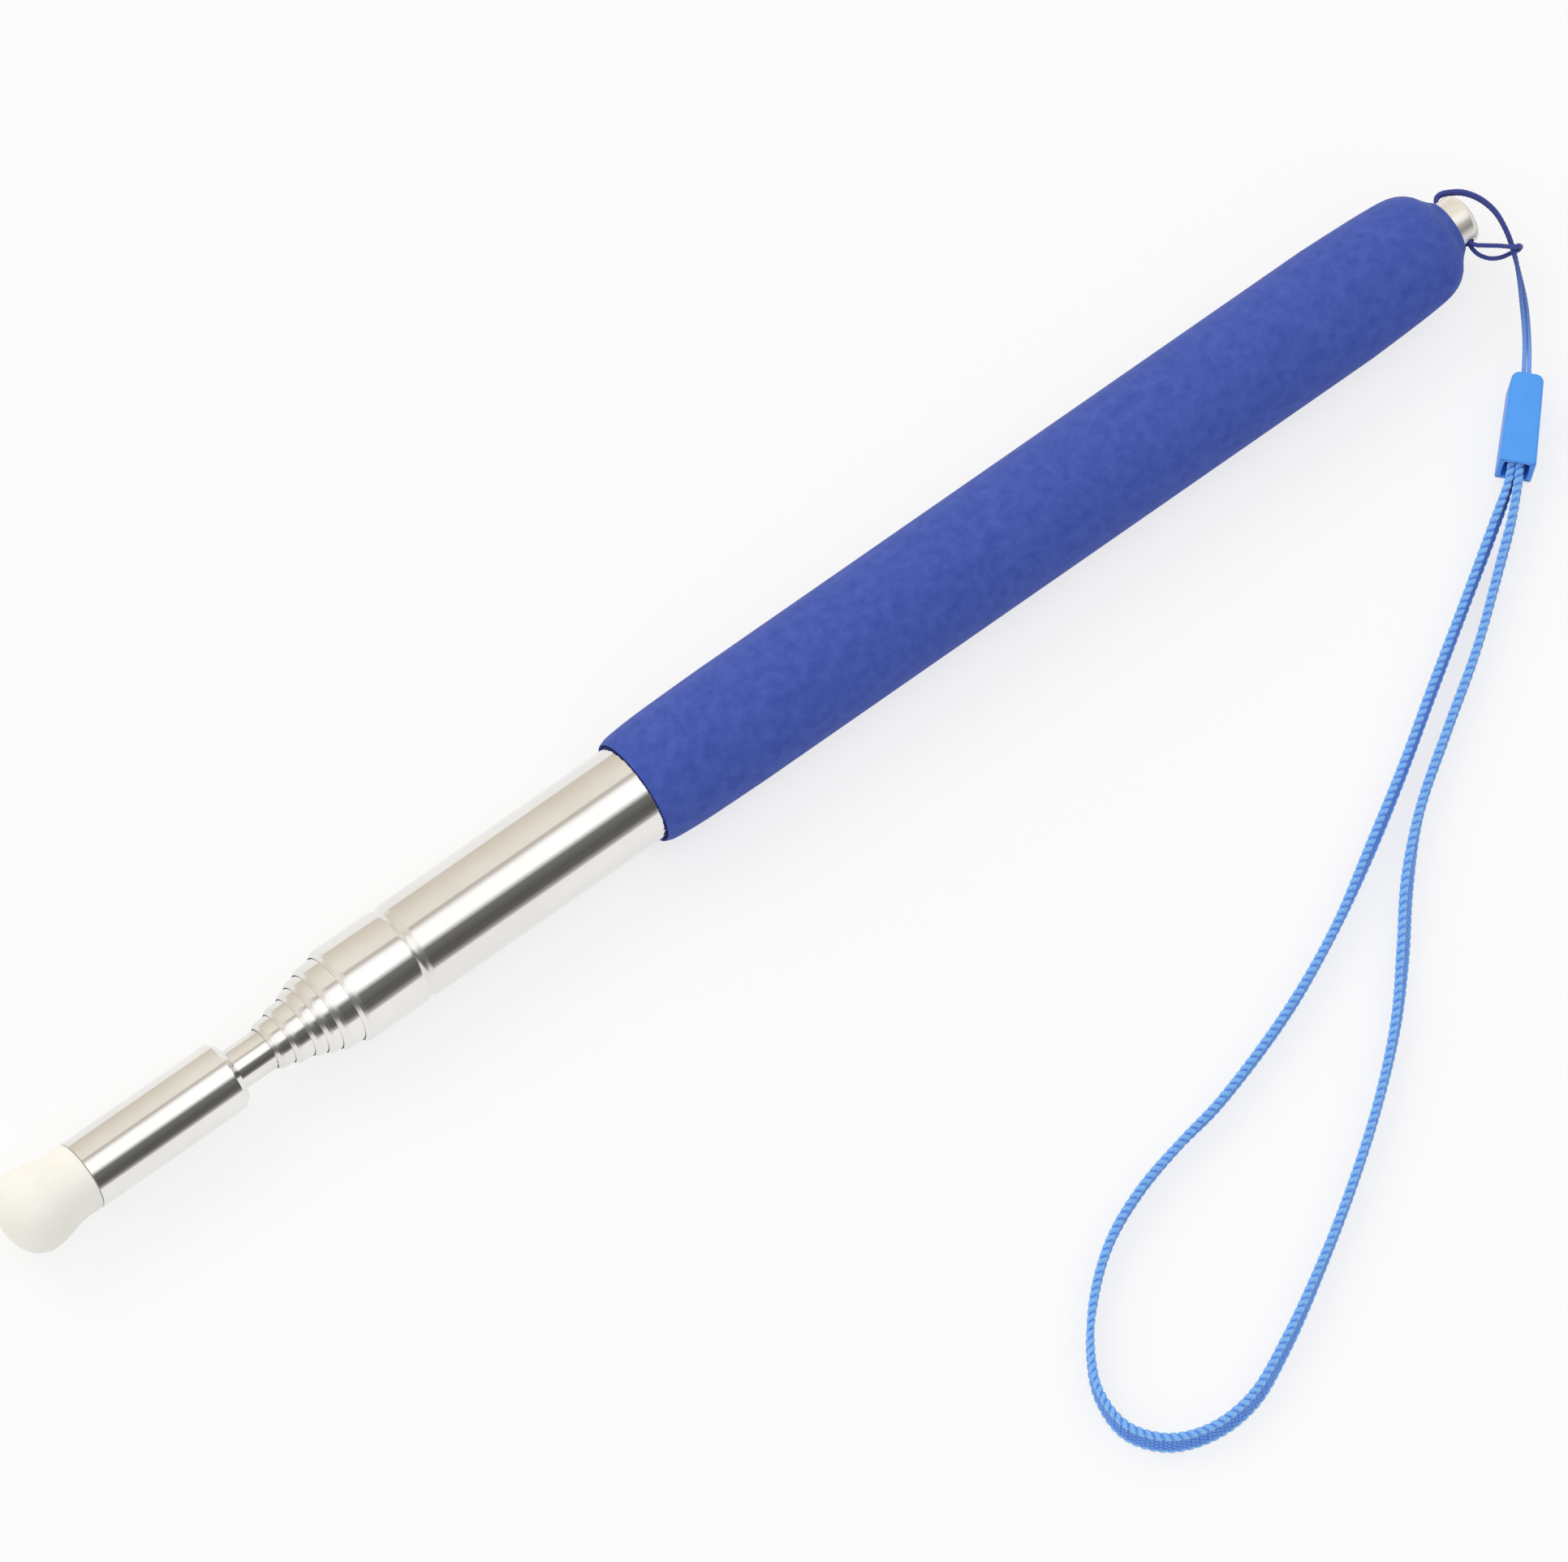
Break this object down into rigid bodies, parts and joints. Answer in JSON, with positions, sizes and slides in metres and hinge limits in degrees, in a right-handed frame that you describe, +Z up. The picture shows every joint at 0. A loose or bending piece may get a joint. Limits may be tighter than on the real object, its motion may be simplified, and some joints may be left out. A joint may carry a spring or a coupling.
{
  "type": "telescopic pointer pen",
  "caption": "Telescopic pointer with a soft blue grip, nested bright tubes, a cream bulb tip and a braided wrist lanyard on a tail stud.",
  "frame": {"origin": "on the floor under the middle of the closed pointer's length", "axes": "+X along the pointer towards the tail stud, with the tip at -X; +Z up from the floor that the grip lies on"},
  "size_m": [0.2302, 0.118, 0.016],
  "materials": {
    "grip_rubber": "matte, finely mottled soft-touch blue",
    "nickel": "bright nickel plate",
    "sleeve_brass": "bare spring brass",
    "plug_plastic": "dark moulded plastic",
    "tip_rubber": "satin cream",
    "string_cord": "tight dark blue string",
    "clip_plastic": "satin light blue",
    "crimp_steel": "bare steel sheet",
    "strap_braid": "flat braid, light blue"
  },
  "bodies": {
    "handle": {"grip_sleeve": "grip_rubber", "outer_tube": "nickel", "tail_plug": "plug_plastic", "tail_stud": "nickel", "string_loop": "string_cord", "clip_shell": "clip_plastic", "strap_crimp": "crimp_steel", "wrist_strap": "strap_braid"},
    "section_2": {"tube_2": "nickel", "friction_sleeve_2": "sleeve_brass"},
    "section_3": {"tube_3": "nickel", "friction_sleeve_3": "sleeve_brass"},
    "section_4": {"tube_4": "nickel", "friction_sleeve_4": "sleeve_brass"},
    "section_5": {"tube_5": "nickel", "friction_sleeve_5": "sleeve_brass"},
    "section_6": {"tube_6": "nickel", "friction_sleeve_6": "sleeve_brass"},
    "section_7": {"tube_7": "nickel", "friction_sleeve_7": "sleeve_brass", "tip_ferrule": "nickel", "ferrule_bush": "plug_plastic", "pointer_tip": "tip_rubber"}
  },
  "joints": [
    {"name": "slide_2", "type": "slide", "parent": "handle", "child": "section_2", "axis": [-1, 0, 0], "range_m": [0, 0.11485]},
    {"name": "slide_3", "type": "slide", "parent": "section_2", "child": "section_3", "axis": [-1, 0, 0], "range_m": [0, 0.12775]},
    {"name": "slide_4", "type": "slide", "parent": "section_3", "child": "section_4", "axis": [-1, 0, 0], "range_m": [0, 0.12955]},
    {"name": "slide_5", "type": "slide", "parent": "section_4", "child": "section_5", "axis": [-1, 0, 0], "range_m": [0, 0.13115]},
    {"name": "slide_6", "type": "slide", "parent": "section_5", "child": "section_6", "axis": [-1, 0, 0], "range_m": [0, 0.13365]},
    {"name": "slide_7", "type": "slide", "parent": "section_6", "child": "section_7", "axis": [-1, 0, 0], "range_m": [0, 0.13585]}
  ]
}
